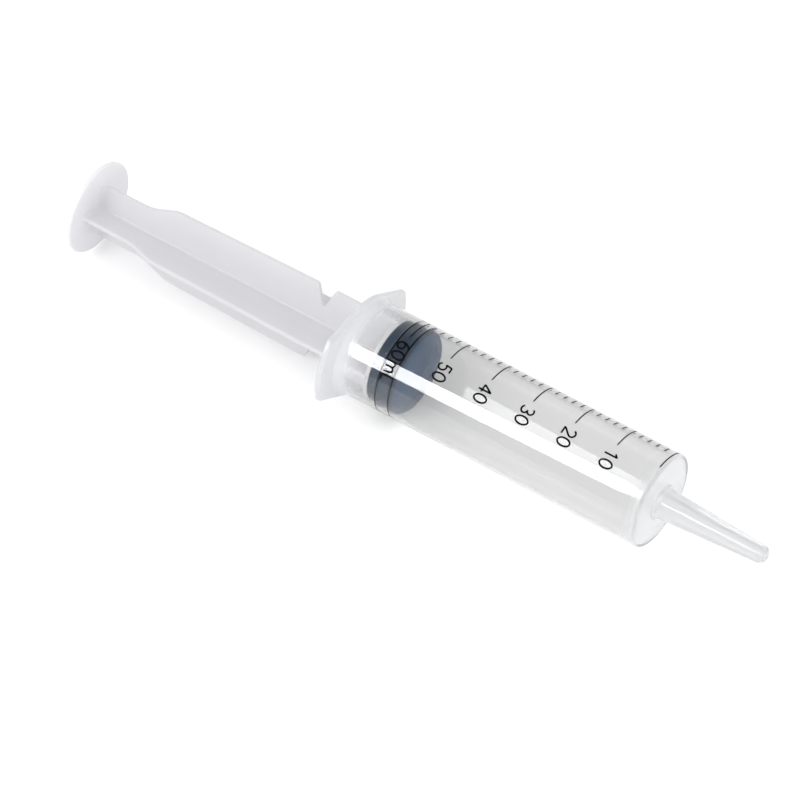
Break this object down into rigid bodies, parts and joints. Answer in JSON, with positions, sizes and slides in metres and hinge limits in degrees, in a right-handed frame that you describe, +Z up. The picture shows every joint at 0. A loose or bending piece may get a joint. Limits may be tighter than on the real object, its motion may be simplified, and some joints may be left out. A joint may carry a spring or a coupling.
{
  "type": "catheter tip syringe",
  "caption": "Large clear syringe with a long plain tapered tip, finger flange, cross-ribbed plunger rod and dark rubber stopper that slides in the barrel.",
  "frame": {"origin": "on the axis of the barrel, in the front face of the finger flange", "axes": "+X along the barrel to the tip, +Z up with the syringe lying at rest on its side, Y across; the wings of the finger flange are turned 18.4 degrees about X, the one at +Y down, so that the flange stands on its round middle and a corner of that wing"},
  "size_m": [0.2512, 0.0474, 0.0344],
  "materials": {
    "clear_polypropylene": "clear moulded polypropylene, slightly milky, polished bore and wall",
    "milky_polypropylene": "milky white moulded polypropylene, satin",
    "stopper_rubber": "smooth moulded rubber, lightly oiled"
  },
  "bodies": {
    "barrel": {"barrel": "clear_polypropylene"},
    "stopper": {"stopper": "stopper_rubber"},
    "plunger_rod": {"plunger_rod": "milky_polypropylene"}
  },
  "joints": [
    {"name": "plunger_slide", "type": "slide", "parent": "barrel", "child": "stopper", "axis": [1, 0, 0], "range_m": [-0.0119, 0.0875]},
    {"name": "rod_spin", "type": "hinge", "parent": "stopper", "child": "plunger_rod", "pos_m": [0.0152, 0, 0], "axis": [1, 0, 0], "continuous": true}
  ]
}
